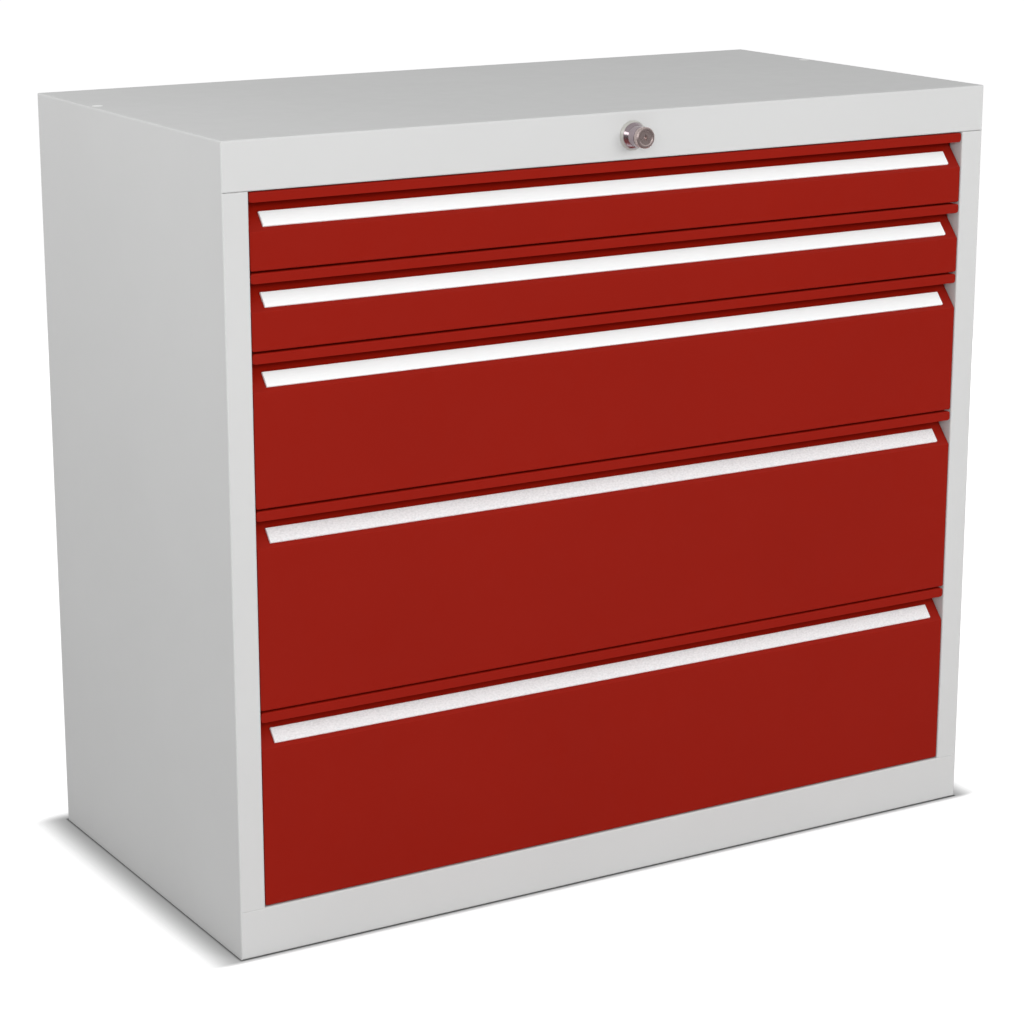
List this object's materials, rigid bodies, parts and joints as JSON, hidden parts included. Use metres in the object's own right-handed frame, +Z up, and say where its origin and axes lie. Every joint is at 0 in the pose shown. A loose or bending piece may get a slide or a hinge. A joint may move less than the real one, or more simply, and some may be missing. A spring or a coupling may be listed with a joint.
{
  "type": "drawer cabinet",
  "caption": "Sheet-steel drawer cabinet with full-width drawers on telescopic slides, grip recesses with aluminium strips and one cylinder lock that bolts all drawers.",
  "frame": {"origin": "on the floor, in the middle of the overall box, lock head included", "axes": "+X to the right seen from the front, +Y towards the back, +Z up"},
  "size_m": [1, 0.528, 0.9],
  "materials": {
    "body_paint": "light grey satin powder coat",
    "drawer_paint": "ruby red satin powder coat",
    "strip_aluminium": "brushed along its length",
    "lock_nickel": "turned and nickel plated",
    "zinc": "zinc plated",
    "plug_plastic": "white moulded plastic"
  },
  "bodies": {
    "carcass": {"side_panel_left": "body_paint", "side_panel_right": "body_paint", "top_panel": "body_paint", "bottom_panel": "body_paint", "back_panel": "body_paint", "upright_front_left": "body_paint", "upright_rear_left": "body_paint", "upright_front_right": "body_paint", "upright_rear_right": "body_paint", "top_plugs": "plug_plastic", "lock_rosette": "lock_nickel", "lock_housing": "lock_nickel", "lock_nut": "zinc", "rod_bracket": "zinc", "lock_bar_guides": "zinc", "drawer_1_cabinet_rails": "zinc", "drawer_2_cabinet_rails": "zinc", "drawer_3_cabinet_rails": "zinc", "drawer_4_cabinet_rails": "zinc", "drawer_5_cabinet_rails": "zinc"},
    "drawer_1": {"drawer_1_front": "drawer_paint", "drawer_1_strip": "strip_aluminium", "drawer_1_tray": "drawer_paint", "drawer_1_drawer_rails": "zinc", "drawer_1_catch": "zinc"},
    "drawer_2": {"drawer_2_front": "drawer_paint", "drawer_2_strip": "strip_aluminium", "drawer_2_tray": "drawer_paint", "drawer_2_drawer_rails": "zinc", "drawer_2_catch": "zinc"},
    "drawer_3": {"drawer_3_front": "drawer_paint", "drawer_3_strip": "strip_aluminium", "drawer_3_tray": "drawer_paint", "drawer_3_drawer_rails": "zinc", "drawer_3_catch": "zinc"},
    "drawer_4": {"drawer_4_front": "drawer_paint", "drawer_4_strip": "strip_aluminium", "drawer_4_tray": "drawer_paint", "drawer_4_drawer_rails": "zinc", "drawer_4_catch": "zinc"},
    "drawer_5": {"drawer_5_front": "drawer_paint", "drawer_5_strip": "strip_aluminium", "drawer_5_tray": "drawer_paint", "drawer_5_drawer_rails": "zinc", "drawer_5_catch": "zinc"},
    "slide_1": {"drawer_1_middle_rails": "zinc"},
    "slide_2": {"drawer_2_middle_rails": "zinc"},
    "slide_3": {"drawer_3_middle_rails": "zinc"},
    "slide_4": {"drawer_4_middle_rails": "zinc"},
    "slide_5": {"drawer_5_middle_rails": "zinc"},
    "lock_rotor": {"lock_plug": "lock_nickel", "lock_rod": "zinc", "lock_crank": "zinc"},
    "lock_bolt": {"lock_bar": "zinc", "lock_bar_tabs": "zinc"}
  },
  "joints": [
    {"name": "drawer_1_slide", "type": "slide", "parent": "carcass", "child": "drawer_1", "axis": [0, -1, 0], "range_m": [0, 0.44]},
    {"name": "slide_1_travel", "type": "slide", "parent": "carcass", "child": "slide_1", "axis": [0, -1, 0], "range_m": [0, 0.22]},
    {"name": "drawer_2_slide", "type": "slide", "parent": "carcass", "child": "drawer_2", "axis": [0, -1, 0], "range_m": [0, 0.44]},
    {"name": "slide_2_travel", "type": "slide", "parent": "carcass", "child": "slide_2", "axis": [0, -1, 0], "range_m": [0, 0.22]},
    {"name": "drawer_3_slide", "type": "slide", "parent": "carcass", "child": "drawer_3", "axis": [0, -1, 0], "range_m": [0, 0.44]},
    {"name": "slide_3_travel", "type": "slide", "parent": "carcass", "child": "slide_3", "axis": [0, -1, 0], "range_m": [0, 0.22]},
    {"name": "drawer_4_slide", "type": "slide", "parent": "carcass", "child": "drawer_4", "axis": [0, -1, 0], "range_m": [0, 0.44]},
    {"name": "slide_4_travel", "type": "slide", "parent": "carcass", "child": "slide_4", "axis": [0, -1, 0], "range_m": [0, 0.22]},
    {"name": "drawer_5_slide", "type": "slide", "parent": "carcass", "child": "drawer_5", "axis": [0, -1, 0], "range_m": [0, 0.44]},
    {"name": "slide_5_travel", "type": "slide", "parent": "carcass", "child": "slide_5", "axis": [0, -1, 0], "range_m": [0, 0.22]},
    {"name": "lock_turn", "type": "hinge", "parent": "carcass", "child": "lock_rotor", "pos_m": [0, -0.236, 0.873], "axis": [0, 1, 0], "range_deg": [0, 90]},
    {"name": "lock_bar_lift", "type": "slide", "parent": "carcass", "child": "lock_bolt", "axis": [0, 0, 1], "range_m": [0, 0.01697]}
  ],
  "couplings": [
    {"joint": "slide_1_travel", "follows": "drawer_1_slide", "ratio": 0.5},
    {"joint": "slide_2_travel", "follows": "drawer_2_slide", "ratio": 0.5},
    {"joint": "slide_3_travel", "follows": "drawer_3_slide", "ratio": 0.5},
    {"joint": "slide_4_travel", "follows": "drawer_4_slide", "ratio": 0.5},
    {"joint": "slide_5_travel", "follows": "drawer_5_slide", "ratio": 0.5},
    {"joint": "lock_turn", "follows": "lock_bar_lift", "rad_per_m": 92.56}
  ]
}
